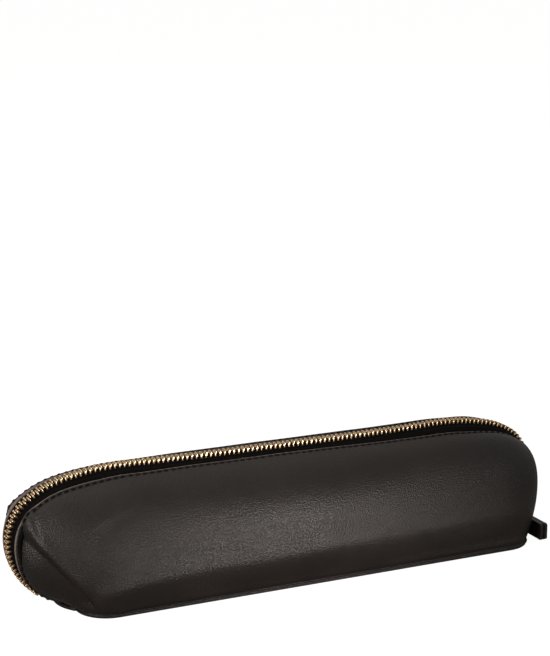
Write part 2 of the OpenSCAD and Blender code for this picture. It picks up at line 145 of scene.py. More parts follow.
def foot_at(d):
    """A point of the wall's foot and the way outward from it, d round the base from the nose."""
    if d > foot_run / 2:
        x, y, nx, ny = foot_at(foot_run - d)
        return -x, y, -nx, ny
    if d < end_run:
        return -foot_x, -EDGE_Y - d, -1.0, 0.0
    if d < end_run + corner_run:
        a = (d - end_run) / foot_r
        return (-foot_x + foot_r * (1 - cos(a)), -foot_y + foot_r * (1 - sin(a)), -cos(a), -sin(a))
    return -foot_x + foot_r + d - end_run - corner_run, -foot_y, 0.0, -1.0


# The wall's section at five stations: where it hangs, its slope at either end, in degrees, and how
# far it keeps that slope, as a share of its height.
STATIONS = [0, 1, 2, 3, 4]   # nose end, nose crease, middle, tail crease, tail end
STATION_S = [0, NOSE_CREASE, zip_l / 2, zip_l - TAIL_CREASE, zip_l]
STATION_D = [0, end_run + corner_run / 2, foot_run / 2, foot_run - end_run - corner_run / 2, foot_run]
FOOT_RISE = [8, 37, 50, 56, 64]
DIP_AT, EDGE_DIP = [0, 1, 2, 2.85, 3.1, 4], [0, 8, 4, 1, -25, -10]
UPPER_REACH = [0.44, 0.28, 0.46, 0.40, 0.33]
LOWER_REACH = [0.30, 0.23, 0.32, 0.12, 0.16]
# How far the turned edge lies below the zip's line: the leather sinks a little more toward the tail.
DROP_S = [0, 39, 78, 95, 114, 153, 175, 198, 221, 240, 260, zip_l]
DROPS = [EDGE_DROP_END, EDGE_DROP_END, 2.3, 2.4, 1.8, 1.6, 2.1, 3.0, 3.7, 3.8, 2.6, EDGE_DROP_END]
FOOT_Z = BASE_T + 0.1   # a hair over the base's leather


def wall_curve(w):
    """Four control points of the front wall's section at station w, from the zip to the base."""
    s = np.interp(w, STATIONS, STATION_S)
    x, z, heading = zip_at(s)
    inward = right_of(heading)
    drop = np.interp(s, DROP_S, DROPS)
    edge = np.array([x + inward[0] * drop, -EDGE_Y, z + inward[1] * drop])
    fx, fy, nx, ny = foot_at(np.interp(w, STATIONS, STATION_D))
    foot = np.array([fx, fy, FOOT_Z])
    whole = min(int(w), 3)
    part = w - whole
    # Between the creases one section eases into the next; at the ends it changes evenly.
    e = w if w < 1 or w > 3 else whole + part * part * (3 - 2 * part)
    dip = radians(np.interp(e, DIP_AT, EDGE_DIP))
    rise = radians(np.interp(e, STATIONS, FOOT_RISE))
    height = np.linalg.norm(foot - edge)
    upper = np.interp(e, STATIONS, UPPER_REACH) * height
    lower = np.interp(e, STATIONS, LOWER_REACH) * height
    off_edge = np.array([inward[0] * sin(dip), -cos(dip), inward[1] * sin(dip)])
    off_foot = np.array([nx * cos(rise), ny * cos(rise), sin(rise)])
    return edge, edge + off_edge * upper, foot + off_foot * lower, foot


ROOMY_WALL = 14.0   # a section at least this long has room for all its rows


def wall_rows(w, from_edge, between, from_foot):
    """Points down the section at station w: some at set distances from each end, the rest even."""
    p0, p1, p2, p3 = wall_curve(w)
    t = np.linspace(0, 1, 90)[:, None]
    curve = (1 - t) ** 3 * p0 + 3 * (1 - t) ** 2 * t * p1 + 3 * (1 - t) * t * t * p2 + t ** 3 * p3
    run = np.concatenate([[0], np.cumsum(np.linalg.norm(np.diff(curve, axis=0), axis=1))])
    share = min(1.0, run[-1] / ROOMY_WALL)   # the lowest ends are short, so their rows close up
    upper = np.array(from_edge) * share
    lower = run[-1] - np.array(from_foot) * share
    middle = np.linspace(upper[-1], lower[0], between + 2)[1:-1]
    at = np.concatenate([upper, middle, lower])
    return np.stack([np.interp(at, run, curve[:, i]) for i in range(3)], axis=1)


def surface_normals(grid):
    """The unit normal at each point of a grid, out of the case."""
    across = np.gradient(grid, axis=1)
    along = np.gradient(grid, axis=0)
    n = np.cross(across, along)
    return n / (np.linalg.norm(n, axis=2, keepdims=True) + 1e-12)


def station_at(s):
    """The station at a length s along the zip."""
    return float(np.interp(s, STATION_S, STATIONS))


def deselect_all():
    """Leaves edit mode and selects nothing, so that an operator acts on one piece only."""
    if bpy.context.object and bpy.context.object.mode != "OBJECT":
        bpy.ops.object.mode_set(mode="OBJECT")
    bpy.ops.object.select_all(action="DESELECT")


def grid_piece(name, grid, side):
    """A grid primitive whose points are moved onto a surface given in millimetres."""
    columns, rows = grid.shape[0], grid.shape[1]
    deselect_all()
    bpy.ops.mesh.primitive_grid_add(x_subdivisions=columns - 1, y_subdivisions=rows - 1, size=1)
    piece = bpy.context.object
    piece.name = name
    piece.data.name = name
    flat = np.array([v.co for v in piece.data.vertices])
    i = np.rint((flat[:, 0] + 0.5) * (columns - 1)).astype(int)
    j = np.rint((flat[:, 1] + 0.5) * (rows - 1)).astype(int)
    placed = grid[i, j] * MM
    if side == BACK:
        placed[:, 1] *= -1
    piece.data.vertices.foreach_set("co", placed.ravel())
    piece.data.update()
    bpy.ops.object.mode_set(mode="EDIT")
    bpy.ops.mesh.select_all(action="SELECT")
    if side == FRONT:
        bpy.ops.mesh.flip_normals()
    bpy.ops.object.mode_set(mode="OBJECT")
    return piece


def finish_piece(piece, *modifiers):
    """Adds and applies modifiers, each a type with its settings, and shades the piece smooth."""
    deselect_all()
    piece.select_set(True)
    bpy.context.view_layer.objects.active = piece
    for kind, settings in modifiers:
        modifier = piece.modifiers.new(kind.lower(), kind)
        for setting, value in settings.items():
            setattr(modifier, setting, value)
        bpy.ops.object.modifier_apply(modifier=modifier.name)
    bpy.ops.object.shade_smooth()


def colour(hex_code):
    """An sRGB hex value as the linear colour that Blender works in."""
    parts = [int(hex_code[i:i + 2], 16) / 255 for i in (1, 3, 5)]
    return [c / 12.92 if c <= 0.04045 else ((c + 0.055) / 1.055) ** 2.4 for c in parts] + [1.0]


def node(material, kind, settings=(), links=()):
    """Adds a shader node. Settings are its attributes or socket values, links its inputs."""
    made = material.node_tree.nodes.new(kind)
    for name, value in dict(settings).items():
        if hasattr(made, name) and name not in made.inputs:
            setattr(made, name, value)
        else:
            made.inputs[name].default_value = value
    for name, output in dict(links).items():
        material.node_tree.links.new(output, made.inputs[name])
    return made


def new_material(name):
    """An empty node material."""
    material = bpy.data.materials.new(name)
    material.use_nodes = True
    material.node_tree.nodes.clear()
    return material


def finish_material(material, settings, links=()):
    """Ends a material in its one shader and output."""
    shader = node(material, "ShaderNodeBsdfPrincipled", settings, links)
    node(material, "ShaderNodeOutputMaterial", links={"Surface": shader.outputs[0]})
    return material


def give(piece, material):
    """Puts one material on the whole piece."""
    piece.data.materials.clear()
    piece.data.materials.append(material)


# Aniline-dyed smooth calf: nearly black-brown, a soft broad sheen, and a fine
# pebble grain about half a millimetre across.
def smooth_calf(name, dark, light, rough, rough_spread, grain, hem=None):
    """Smooth calf. A hem is a band down the piece's UV, from and to, with the lighter colour of a painted
    highlight.
    """
    m = new_material(name)
    place = node(m, "ShaderNodeTexCoord").outputs["Object"]
    cells = node(m, "ShaderNodeTexVoronoi", {"Scale": 1800.0, "Randomness": 1.0}, {"Vector": place})
    fine = node(m, "ShaderNodeTexNoise", {"Scale": 1700.0, "Detail": 3.0}, {"Vector": place})
    broad = node(m, "ShaderNodeTexNoise", {"Scale": 38.0, "Detail": 3.0, "Roughness": 0.55},
                 {"Vector": place})
    tone = node(m, "ShaderNodeMapRange", {"From Min": 0.35, "From Max": 0.65}, {"Value": broad.outputs[0]})
    dye = node(m, "ShaderNodeMix", {"data_type": "RGBA"}, {"Factor": tone.outputs[0]})
    dye.inputs[6].default_value = colour(dark)
    dye.inputs[7].default_value = colour(light)
    gloss = node(m, "ShaderNodeMapRange", {"To Min": rough, "To Max": rough + rough_spread},
                 {"Value": tone.outputs[0]})
    shade = dye.outputs[2]
    if hem:
        # The hem band is mixed toward a lighter colour: a painted highlight along the turned edge.
        first, last, hem_highlight_colour = hem
        across = node(m, "ShaderNodeSeparateXYZ",
                      links={"Vector": node(m, "ShaderNodeTexCoord").outputs["UV"]}).outputs["Y"]
        on = node(m, "ShaderNodeMapRange", {"From Min": first - 0.006, "From Max": first + 0.006},
                  {"Value": across})
        off = node(m, "ShaderNodeMapRange", {"From Min": last - 0.008, "From Max": last + 0.004,
                                             "To Min": 1.0, "To Max": 0.0}, {"Value": across})
        line = node(m, "ShaderNodeMath", {"operation": "MULTIPLY"})
        m.node_tree.links.new(on.outputs[0], line.inputs[0])
        m.node_tree.links.new(off.outputs[0], line.inputs[1])
        hem_highlight_mix = node(m, "ShaderNodeMix", {"data_type": "RGBA"}, {"Factor": line.outputs[0]})
        m.node_tree.links.new(shade, hem_highlight_mix.inputs[6])
        hem_highlight_mix.inputs[7].default_value = colour(hem_highlight_colour)
        shade = hem_highlight_mix.outputs[2]
    pebble = node(m, "ShaderNodeMath", {"operation": "ADD"})
    m.node_tree.links.new(cells.outputs["Distance"], pebble.inputs[0])
    m.node_tree.links.new(fine.outputs[0], pebble.inputs[1])
    bump = node(m, "ShaderNodeBump", {"Strength": grain, "Distance": 0.00022},
                {"Height": pebble.outputs[0]})
    return finish_material(m, {"IOR": 1.5, "Specular IOR Level": 0.42}, {
        "Base Color": shade, "Roughness": gloss.outputs[0], "Normal": bump.outputs[0]})


# The walls' turned edge has a painted highlight: a band a little lighter than the rest.
black_calf = ("#14100e", "#1a1512", 0.37, 0.08, 0.62)
calf = smooth_calf("smooth_calf_black", *black_calf)
wall_calf = smooth_calf("smooth_calf_black_painted_edge_highlight", *black_calf, (0.026, 0.066, "#756a63"))

# Distances down from the turned edge, and how far the leather stands out there.
EDGE_ROWS = [(0.0, -0.85), (0.06, -0.42), (0.18, -0.02), (0.38, 0.20), (0.62, 0.25), (0.85, 0.10),
             (1.05, -0.12), (1.28, -0.20), (1.5, -0.22), (1.72, -0.18), (1.95, -0.06), (2.3, 0.05),
             (2.9, 0.12), (3.8, 0.07), (4.8, 0.0)]
FOOT_ROWS = [(4.5, 0.0), (3.2, 0.04), (2.2, 0.04), (1.4, 0.0), (0.8, -0.05)]
# The lower edge is turned in over the base: a small roll, out and up from the foot.
FOOT_ROLL = [(0.22, 0.24), (0.34, 0.12), (0.60, 0.02), (0.78, -0.20), (0.78, -0.46), (0.56, -0.70),
             (0.16, -0.80)]
STITCH_PITCH, STITCH_INSET = 2.95, 1.5
WALL_COLUMNS, WALL_MIDDLE_ROWS = 641, 44
SHOWN_LEATHER_T = 0.7   # a little under the real millimetre, so that the relief leaves the lining room
wall_s = np.linspace(0, zip_l, WALL_COLUMNS)
wall_w = [station_at(s) for s in wall_s]
bare_wall = np.array([wall_rows(w, [r[0] for r in EDGE_ROWS], WALL_MIDDLE_ROWS,
                                [r[0] for r in FOOT_ROWS]) for w in wall_w])


def hump(x, middle, width):
    """A rounded rise of 1 at the middle, and about a third of that one width away."""
    return np.exp(-((x - middle) / width) ** 2)


def ease(x, start, end):
    """From 0 at the start to 1 at the end, level at both."""
    u = np.clip((x - start) / (end - start), 0, 1)
    return u * u * (3 - 2 * u)


# Leather doesn't kink where two shapes meet: the columns are blended with their neighbours.
BLEND_COLUMNS, BLEND_SPREAD = 30, 10.0   # how many on each side, and how far their weight spreads
wall_down = np.arange(bare_wall.shape[1]) / (bare_wall.shape[1] - 1.0)
near = np.exp(-0.5 * (np.arange(-BLEND_COLUMNS, BLEND_COLUMNS + 1) / BLEND_SPREAD) ** 2)
padded = np.concatenate([2 * bare_wall[:1] - bare_wall[BLEND_COLUMNS:0:-1], bare_wall,
                         2 * bare_wall[-1:] - bare_wall[-2:-BLEND_COLUMNS - 2:-1]])
blended = sum(share * padded[k:k + WALL_COLUMNS] for k, share in enumerate(near / near.sum()))
yielding = (ease(wall_down, 0.06, 0.3) * (1 - ease(wall_down, 0.88, 1.0)))[None, :, None]
bare_wall += yielding * (blended - bare_wall)
wall_out = surface_normals(bare_wall)

# Where the folds at the nose run: the shares of the way down, and the station at each.
CREASE = ([0, 0.08, 0.25, 0.39, 0.53, 0.66, 0.76, 0.88, 1],
          [0.70, 0.70, 0.72, 0.76, 0.81, 0.86, 0.93, 1.0, 1.05])
RIDGE = ([0, 0.14, 0.36, 0.49, 0.63, 0.73, 0.83, 1], [0.85, 0.82, 0.81, 0.85, 0.90, 0.96, 1.01, 1.06])
CORNER_VALLEY = ([0.40, 0.47, 0.56, 0.68, 0.80, 1.0], [1.27, 1.15, 1.09, 1.06, 1.04, 1.03])
SMALL_FOLD = ([0.04, 0.08, 0.17, 0.28, 0.38], [0.99, 0.975, 0.915, 0.86, 0.83])
# How deep or proud each one is.
GUSSET_PRESS, RIDGE_STAND, CORNER_VALLEY_DEEP, SMALL_FOLD_DEEP = 1.9, 0.5, 0.9, 0.45
BUCKLE_STAND, DIMPLE_DEEP = 0.7, 0.7   # beside the crease's top, and past it along the wall
PUCKER_DEEP, PUCKER_REST = 0.26, 0.10   # what each stitch pulls in, less what lifts between them
# How much fuller the back wall stands under the zip, at each station.
FULLER_AT = [0.1, 0.4, 1.1, 1.7, 2.0, 2.4, 2.85, 3.05, 3.3]
FULLER = [0, 1.1, 1.0, 0.9, 0.9, 1.6, 2.2, 1.3, 0]
# How high the soft bend above the base lies along the case, and what it stands out and draws in.
BEND_X, BEND_Z = [-97, -89, -81, -60, 80, 97], [5.0, 9.5, 12.0, 13.5, 15.0, 13.0]
BEND_ROUND, UNDER_BEND = 4.0, 0.55
SWELL_STAND, RIPPLE_STAND = 0.5, 0.12   # the slack of worn leather, in broad swells and small ones


def leather_relief(grid, side):
    """How far the leather stands off its smooth shape: turned edges, puckers, folds and slack."""
    rows = grid.shape[1]
    edge_count, foot_count = len(EDGE_ROWS), len(FOOT_ROWS)
    relief = np.zeros(grid.shape[:2])
    relief[:, :edge_count] += [r[1] for r in EDGE_ROWS]
    relief[:, rows - foot_count:] += [r[1] for r in FOOT_ROWS]
    pull = 0.5 + 0.5 * np.cos(2 * pi * wall_s / STITCH_PITCH)
    for j, (q, _) in enumerate(EDGE_ROWS):
        relief[:, j] -= (PUCKER_DEEP * pull - PUCKER_REST) * hump(q, STITCH_INSET, 0.45)
    down = wall_down[None, :]
    w = np.array(wall_w)[:, None]
    x, z = grid[:, :, 0], grid[:, :, 2]
    # The gusset at the nose is pressed in behind one crease, and the leather stands up along it.
    crease, ridge = np.interp(down, *CREASE), np.interp(down, *RIDGE)
    folded = ease(down, 0.03, 0.14) * (1 - ease(down, 0.90, 1.0))
    relief -= folded * GUSSET_PRESS * (1 - ease(w, crease - 0.03, ridge)) * ease(w, 0.22, crease - 0.02)
    relief += folded * RIDGE_STAND * hump(w, ridge + 0.02, 0.06)
    # Smaller folds on the front: one beside the crease's top, one that climbs from the base's corner.
    if side == FRONT:
        relief += BUCKLE_STAND * hump(w, 0.885, 0.05) * hump(down, 0.13, 0.10)
        relief -= SMALL_FOLD_DEEP * hump(w, np.interp(down, *SMALL_FOLD), 0.03) * (
            ease(down, 0.03, 0.08) * (1 - ease(down, 0.26, 0.40)))
        relief -= CORNER_VALLEY_DEEP * hump(w, np.interp(down, *CORNER_VALLEY), 0.06) * (
            ease(down, 0.38, 0.52) * (1 - ease(down, 0.84, 0.96)))
        relief -= DIMPLE_DEEP * hump(w, 1.17, 0.11) * hump(down, 0.25, 0.13)
    # The back wall stands fuller under the zip, most of all toward the tail.
    if side == BACK:
        relief += np.interp(w, FULLER_AT, FULLER) * ease(down, 0.0, 0.13) * (1 - ease(down, 0.22, 0.5))
    # The bag sags to a soft bend a little above the base and turns under below it.
    bend_z = np.interp(x, BEND_X, BEND_Z)
    sides = ease(w, 0.98, 1.10) * (1 - ease(w, 2.9, 3.2))
    sharp = np.interp(w, [1.0, 1.1, 1.5], [1.0, 0.9, 0.6])
    relief += sides * sharp * ease(down, 0.3, 0.5) * hump(z, bend_z + 2.0, BEND_ROUND)
    relief -= sides * (1 - ease(down, 0.93, 1.0)) * UNDER_BEND * hump(z, bend_z * 0.42, BEND_ROUND)
    free = ease(down, 0.14, 0.34) * (1 - ease(down, 0.86, 0.97))
    for i in range(grid.shape[0]):
        for j in range(rows):
            if free[0, j] > 0.01:
                p = Vector(grid[i, j])
                swell = noise.noise(Vector((p.x / 34, p.y / 30, p.z / 26)) + Vector((3.1, 7.7, 1.3)))
                ripple = noise.noise(Vector((p.x / 12, p.y / 12, p.z / 14)))
                relief[i, j] += free[0, j] * (SWELL_STAND * swell + RIPPLE_STAND * ripple)
    return relief


roll = []
for w in wall_w:
    fx, fy, nx, ny = foot_at(np.interp(w, STATIONS, STATION_D))
    rolled = float(ease(w, 0.45, 0.8))   # under the nose the roll flattens out
    roll.append([[fx + nx * out * rolled, fy + ny * out * rolled,
                  FOOT_Z + up * rolled - (1 - rolled) * 0.02 * k]
                 for k, (out, up) in enumerate(FOOT_ROLL)])
dressed = {}   # each side's points, by column along the zip and row down the wall
for side in (FRONT, BACK):
    shaped = bare_wall + wall_out * leather_relief(bare_wall, side)[:, :, None]
    dressed[side] = np.concatenate([shaped, np.array(roll)], axis=1)
    wall = grid_piece(SIDE_NAMES[side] + "_leather_wall", dressed[side], side)
    finish_piece(wall, ("SOLIDIFY", {"thickness": SHOWN_LEATHER_T * MM, "offset": -1.0}))
    give(wall, wall_calf)
    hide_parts(SIDE_NAMES[side] + "_panel")
    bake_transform(wall)

# ---------------------------------------------------------------------------
# Edge stitching. A row of waxed black thread holds the turned edge down on the
# zip tape, a stitch every 3 mm, each one lying in the dent that it pulls.
# ---------------------------------------------------------------------------
STITCH_L, THREAD_R, END_DIP = 1.75, 0.36, 0.30
STITCH_PROUD = {FRONT: 0.30, BACK: 0.08}   # the back row is pulled in tighter
stitch_count = int((zip_l - 2 * STITCH_PITCH) / STITCH_PITCH)


# Bonded, waxed polyester thread: black, dull, and faintly ridged by its twist.
def thread_finish(name, hex_code):
    m = new_material(name)
    place = node(m, "ShaderNodeTexCoord").outputs["Object"]
    strands = node(m, "ShaderNodeTexNoise", {"Scale": 3200.0, "Detail": 2.0}, {"Vector": place})
    bump = node(m, "ShaderNodeBump", {"Strength": 0.5, "Distance": 0.0001}, {"Height": strands.outputs[0]})
    return finish_material(m, {"Base Color": colour(hex_code), "Roughness": 0.6, "Specular IOR Level": 0.2},
                           {"Normal": bump.outputs[0]})


waxed_thread = thread_finish("waxed_polyester_thread", "#080706")


def stitch_proto(length, radius):
    """One stitch along X, its two ends dipping into the leather."""
    deselect_all()
    bpy.ops.mesh.primitive_cylinder_add(vertices=8, radius=radius * MM, depth=length * MM,
                                        rotation=(0, pi / 2, 0))
    proto = bpy.context.object
    bpy.ops.object.transform_apply(location=True, rotation=True, scale=True)
    bpy.ops.object.mode_set(mode="EDIT")
    for x in (-0.3, 0.0, 0.3):
        bpy.ops.mesh.select_all(action="SELECT")
        bpy.ops.mesh.bisect(plane_co=(x * length * MM, 0, 0), plane_no=(1, 0, 0))
    bpy.ops.object.mode_set(mode="OBJECT")
    for v in proto.data.vertices:
        u = 2 * v.co.x / (length * MM)
        thin = sqrt(max(0.16, 1 - u ** 4 * 0.84))
        v.co.y *= thin
        v.co.z = v.co.z * thin - END_DIP * MM * u ** 4
    bpy.ops.object.shade_smooth()
    return proto


def copies(name, proto, places):
    """Copies of one shape at each place, a 4x4 matrix, joined into one piece."""
    made = []
    for place in places:
        one = bpy.data.objects.new(name, proto.data.copy())
        bpy.context.collection.objects.link(one)
        one.data.transform(place)
        if place.determinant() < 0:
            one.data.flip_normals()
        made.append(one)
    deselect_all()
    for one in made:
        one.select_set(True)
    bpy.context.view_layer.objects.active = made[0]
    bpy.ops.object.join()
    made[0].name = name
    made[0].data.name = name
    return made[0]


def frame_matrix(origin, x_axis, z_axis, side=FRONT):
    """A place in metres from millimetres, with X along one direction and Z near another."""
    x = Vector(x_axis).normalized()
    z = (Vector(z_axis) - x * Vector(z_axis).dot(x)).normalized()
    y = z.cross(x)
    m = Matrix((
        (x[0], y[0], z[0], origin[0] * MM), (x[1], y[1], z[1], origin[1] * MM),
        (x[2], y[2], z[2], origin[2] * MM), (0, 0, 0, 1)))
    return Matrix.Scale(-1, 4, (0, 1, 0)) @ m if side == BACK else m


# The row of the wall's points that lies nearest the stitches' line.
stitch_row = min(range(len(EDGE_ROWS)), key=lambda j: abs(EDGE_ROWS[j][0] - STITCH_INSET))
one_stitch = stitch_proto(STITCH_L, THREAD_R)
for side in (FRONT, BACK):
    places = []
    for k in range(1, stitch_count + 1):
        i = min(int(round((k + 0.5) * STITCH_PITCH / zip_l * (WALL_COLUMNS - 1))), WALL_COLUMNS - 2)
        along = dressed[side][i + 1, stitch_row] - dressed[side][i - 1, stitch_row]
        out = wall_out[i, stitch_row]
        places.append(frame_matrix(dressed[side][i, stitch_row] + out * STITCH_PROUD[side], along, out, side))
    row = copies(SIDE_NAMES[side] + "_sewing", one_stitch, places)
    give(row, waxed_thread)
    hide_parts(SIDE_NAMES[side] + "_edge_stitching")
    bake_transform(row)
bpy.data.objects.remove(one_stitch)

# ---------------------------------------------------------------------------
# Lining. A thin woven twill hangs just inside each wall, sewn in under the zip
# tape and at the base, with the slight slack of cloth.
# ---------------------------------------------------------------------------
LINING_DEPTH, LINING_SLACK, LINING_END, CLOTH_T = 1.85, 0.28, 7.0, 0.3
LINING_COLUMNS, LINING_MIDDLE_ROWS = 161, 18


# Woven cloth: matt, and finely checked where its two sets of threads cross.
def woven(name, hex_dark, hex_light, bands, rough, height, shine=0.3):
    """Cloth with so many bands of warp and weft across the piece's UV."""
    m = new_material(name)
    place = node(m, "ShaderNodeTexCoord").outputs["UV"]
    warp = node(m, "ShaderNodeTexWave", {"bands_direction": "X", "Scale": bands[0],
                                         "Distortion": 0.4, "Detail": 1.0}, {"Vector": place})
    weft = node(m, "ShaderNodeTexWave", {"bands_direction": "Y", "Scale": bands[1],
                                         "Distortion": 0.4, "Detail": 1.0}, {"Vector": place})
    cloth = node(m, "ShaderNodeMath", {"operation": "MULTIPLY"})
    m.node_tree.links.new(warp.outputs["Fac"], cloth.inputs[0])
    m.node_tree.links.new(weft.outputs["Fac"], cloth.inputs[1])
    tone = node(m, "ShaderNodeMix", {"data_type": "RGBA"}, {"Factor": cloth.outputs[0]})
    tone.inputs[6].default_value = colour(hex_dark)
    tone.inputs[7].default_value = colour(hex_light)
    bump = node(m, "ShaderNodeBump", {"Strength": 0.6, "Distance": height}, {"Height": cloth.outputs[0]})
    return finish_material(m, {"Roughness": rough, "Specular IOR Level": shine},
                           {"Base Color": tone.outputs[2], "Normal": bump.outputs[0]})


twill = woven("cotton_twill_charcoal", "#1b1b1e", "#2c2c31", (95, 22), 0.85, 0.0002)
lining_w = [station_at(s) for s in np.linspace(LINING_END, zip_l - LINING_END, LINING_COLUMNS)]
lining_bare = np.array([wall_rows(w, [0, 1.5, 3.0], LINING_MIDDLE_ROWS, [3.0, 1.5, 0.0]) for w in lining_w])
lining_out = surface_normals(lining_bare)
lining_in = np.full(lining_bare.shape[:2], LINING_DEPTH)
# The lining keeps behind the gusset that is pressed in at the nose.
lining_in += GUSSET_PRESS * (1 - ease(np.array(lining_w), 0.95, 1.3))[:, None]
for i in range(lining_in.shape[0]):
    for j in range(2, lining_in.shape[1] - 2):
        p = Vector(lining_bare[i, j])
        lining_in[i, j] += LINING_SLACK * (1 + noise.noise(Vector((p.x / 9, p.y / 14, p.z / 14))))
lining_grid = lining_bare - lining_out * lining_in[:, :, None]
for side in (FRONT, BACK):
    cloth = grid_piece(SIDE_NAMES[side] + "_cloth_lining", lining_grid, side)
    finish_piece(cloth, ("SOLIDIFY", {"thickness": CLOTH_T * MM, "offset": -1.0}))
    give(cloth, twill)
    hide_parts(SIDE_NAMES[side] + "_lining")
    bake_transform(cloth)

# ---------------------------------------------------------------------------
# Base. A flat leather panel with round corners, its cut edge inked, over a
# fibre board that keeps it flat, with the lining cloth glued on the board.
# ---------------------------------------------------------------------------
SOLE_INSET, SOLE_T, SOLE_EDGE_R = 0.1, 1.0, 0.3
FLOOR_CLOTH_INSET, FLOOR_CLOTH_Z, FLOOR_CLOTH_T, FLOOR_CLOTH_EDGE_R = BASE_LIP + 4.0, BASE_T + 1.1, 0.4, 0.12


def bevel_edges(plate, axes, radius, segments):
    """Bevels the plate's edges that keep still along all of these axes."""
    for e in plate.data.edges:
        a, b = (plate.data.vertices[i].co for i in e.vertices)
        e.select = all(abs(a[k] - b[k]) < 1e-7 for k in axes)
    bpy.ops.object.mode_set(mode="EDIT")
    bpy.ops.mesh.bevel(offset=radius * MM, segments=segments, profile=0.5)
    bpy.ops.object.mode_set(mode="OBJECT")


def rounded_plate(name, inset, z, thickness, edge_r):
    """A plate with the base's round corners, made from a cube, its corners and rims bevelled."""
    deselect_all()
    bpy.ops.mesh.primitive_cube_add(size=1)
    plate = bpy.context.object
    plate.name = name
    plate.data.name = name
    l, w, r = BASE_L - 2 * inset, BASE_W - 2 * inset, BASE_R - inset
    plate.scale = (l * MM, w * MM, thickness * MM)
    plate.location = (0, 0, (z + thickness / 2) * MM)
    bpy.ops.object.transform_apply(location=True, rotation=True, scale=True)
    bpy.ops.object.mode_set(mode="EDIT")
    bpy.ops.mesh.select_mode(type="EDGE")
    bpy.ops.mesh.select_all(action="DESELECT")
    bpy.ops.object.mode_set(mode="OBJECT")
    bevel_edges(plate, (0, 1), r, 14)
    bevel_edges(plate, (2,), edge_r, 3)
    bpy.ops.object.shade_smooth_by_angle(angle=radians(40))
    return plate


sole = rounded_plate("base_leather", SOLE_INSET, 0, SOLE_T, SOLE_EDGE_R)
# The sole's leather is split, inked and duller; its blacker colour is partly the ink and partly painted shade
# under the walls' turned foot.
give(sole, smooth_calf("inked_sole_leather_with_painted_shade", "#0b0a09", "#0f0d0c", 0.55, 0.08, 0.3))
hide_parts("base_panel")
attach(sole, "case_body")


# Pressed fibre board: brown, matt, mottled by its fibres.
def fibre_board(name):
    m = new_material(name)
    place = node(m, "ShaderNodeTexCoord").outputs["Object"]
    fibres = node(m, "ShaderNodeTexNoise", {"Scale": 900.0, "Detail": 4.0}, {"Vector": place})
    tone = node(m, "ShaderNodeMix", {"data_type": "RGBA"}, {"Factor": fibres.outputs[0]})
    tone.inputs[6].default_value = colour("#7d6a50")
    tone.inputs[7].default_value = colour("#a08c6e")
    bump = node(m, "ShaderNodeBump", {"Strength": 0.3, "Distance": 0.0001}, {"Height": fibres.outputs[0]})
    return finish_material(m, {"Roughness": 0.9}, {"Base Color": tone.outputs[2], "Normal": bump.outputs[0]})


give(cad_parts["base_board"], fibre_board("pressed_fibre_board"))
floor_cloth = rounded_plate("base_cloth_lining", FLOOR_CLOTH_INSET, FLOOR_CLOTH_Z, FLOOR_CLOTH_T,
                            FLOOR_CLOTH_EDGE_R)
give(floor_cloth, twill)
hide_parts("base_lining")
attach(floor_cloth, "case_body")


def softened_copy(name, source, radius, segments, material, body):
    """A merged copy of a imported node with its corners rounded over."""
    deselect_all()
    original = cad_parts[source]
    piece = bpy.data.objects.new(name, original.data.copy())
    bpy.context.collection.objects.link(piece)
    piece.data.name = name
    piece.data.transform(original.matrix_world)
    piece.select_set(True)
    bpy.context.view_layer.objects.active = piece
    bpy.ops.object.mode_set(mode="EDIT")
    bpy.ops.mesh.select_all(action="SELECT")
    bpy.ops.mesh.remove_doubles(threshold=1e-6)
    bpy.ops.mesh.dissolve_limited(angle_limit=radians(2))
    bpy.ops.object.mode_set(mode="OBJECT")
    rounding = piece.modifiers.new("rounding", "BEVEL")
    rounding.width = radius * MM
    rounding.segments = segments
    rounding.limit_method = "ANGLE"
    rounding.angle_limit = radians(35)
    bpy.ops.object.modifier_apply(modifier=rounding.name)
    bpy.ops.object.shade_smooth_by_angle(angle=radians(45))
    give(piece, material)
    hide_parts(source)
    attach(piece, body)
    return piece


for end in ("nose", "tail"):
    softened_copy(end + "_seam_allowance", end + "_welt", 0.45, 3, calf, "case_body")

# ---------------------------------------------------------------------------
# Zip tape. Two bands of ribbed black polyester tape, woven round the teeth's
# legs, lie level beside the chain and dip under the turned leather edges.
# ---------------------------------------------------------------------------


def chain_sink(s):
    """How far the worn-in chain sags below the zip's line, which is least at the two ends."""
    return np.interp(s, [0, 60, 110, 150, 185, 215, 240, 262, zip_l],
                     [0.15, 0.25, 0.45, 0.40, 0.80, 1.25, 0.75, 0.20, 0.15])


TAPE_END, TAPE_COLUMNS, TAPE_T = 1.0, 401, 0.4
TAPE_UNDER_EDGE = 1.2   # how deep the tape lies below the turned leather
tape_grid = []
for s in np.linspace(TAPE_END, zip_l - TAPE_END, TAPE_COLUMNS):
    x, z, heading = zip_at(s)
    inward = right_of(heading)
    to_edge = np.interp(s, DROP_S, DROPS) + 0.9
    low = chain_sink(s)
    # Out from the teeth's legs: how far from the zip's plane, and how far down into the case.
    profile = [(1.45, low + 0.1), (2.2, low + 0.45), (2.6, low + 1.0), (3.3, low + 1.15), (4.2, low + 1.0),
               (5.0, max(0.1 + 0.45 * to_edge, low + 0.8)), (5.8, 0.20 + 0.74 * to_edge)]
    row = [[x + inward[0] * d, -y, z + inward[1] * d] for y, d in profile]
    for p in wall_rows(station_at(s), [0, 1.0, 2.4], 2, [1.0, 0.0])[:3]:
        row.append([p[0] + inward[0] * TAPE_UNDER_EDGE, p[1], p[2] + inward[1] * TAPE_UNDER_EDGE])
    tape_grid.append(row)
tape_grid = np.array(tape_grid)
ribbed_tape = woven("woven_polyester_tape", "#060505", "#141110", (210, 9), 0.8, 0.00022, 0.08)
